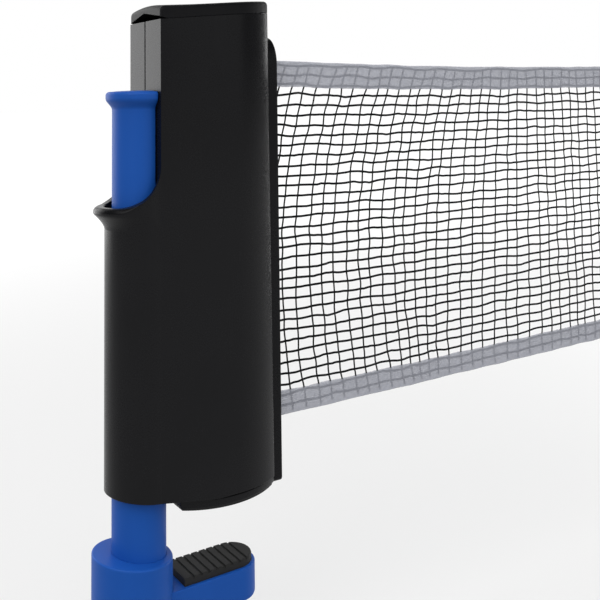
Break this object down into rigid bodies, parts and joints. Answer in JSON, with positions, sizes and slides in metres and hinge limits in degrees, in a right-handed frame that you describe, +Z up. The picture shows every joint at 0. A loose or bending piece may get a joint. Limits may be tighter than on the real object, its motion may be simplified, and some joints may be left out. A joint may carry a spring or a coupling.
{
  "type": "table tennis net clamp",
  "caption": "Spring clamp post for a table's edge: a blue thumb rod opens the lower jaw, and a taped mesh net draws out of a slot in the black barrel.",
  "frame": {"origin": "on the table top, in the middle plane of the housing, on the base pad's underside", "axes": "+X the way the net is drawn out, +Y across the net, +Z up"},
  "size_m": [0.2773, 0.0292, 0.2159],
  "materials": {
    "housing_plastic": "satin black moulded plastic with a soft sheen on its edges",
    "blue_plastic": "blue moulded plastic, satin to gloss",
    "rubber": "black rubber",
    "steel": "plain bright steel",
    "bush_brass": "turned brass",
    "spool_plastic": "pale plastic",
    "net_thread": "black knotted thread",
    "net_tape": "thin grey woven tape folded over the net's edge"
  },
  "bodies": {
    "housing": {"housing_front": "housing_plastic", "housing_rear": "housing_plastic", "top_cap": "housing_plastic", "base_plate": "housing_plastic", "base_pad": "rubber", "slot_bezel": "housing_plastic", "clamp_spring": "steel", "spring_seat": "steel", "seat_screws": "steel", "spool_arbor": "steel", "spool_spring": "steel", "spring_drum": "housing_plastic", "guide_pins": "steel", "housing_screws": "steel", "base_screws": "steel", "net_mesh": "net_thread", "net_top_band": "net_tape", "net_bottom_band": "net_tape"},
    "clamp": {"push_rod": "blue_plastic", "lower_jaw": "blue_plastic", "lower_jaw_pad": "rubber", "jaw_pin": "steel"},
    "spool": {"spool_core": "spool_plastic", "net_roll": "net_thread", "upper_bush": "bush_brass", "lower_bush": "bush_brass"},
    "net_end": {"net_end_bar": "housing_plastic", "net_end_rod": "steel"}
  },
  "joints": [
    {"name": "clamp_slide", "type": "slide", "parent": "housing", "child": "clamp", "axis": [0, 0, 1], "range_m": [-0.03, 0.0192], "stiffness_N_per_m": 1200, "deforming": ["clamp_spring"]},
    {"name": "net_pull", "type": "slide", "parent": "housing", "child": "net_end", "axis": [1, 0, 0], "range_m": [-0.2015, 0], "deforming": ["net_mesh", "net_top_band", "net_bottom_band"]},
    {"name": "spool_spin", "type": "hinge", "parent": "housing", "child": "spool", "pos_m": [0.005, 0, 0.08], "axis": [0, 0, 1], "range_deg": [-965, 0]}
  ],
  "couplings": [
    {"joint": "spool_spin", "follows": "net_pull", "rad_per_m": 83.333}
  ]
}
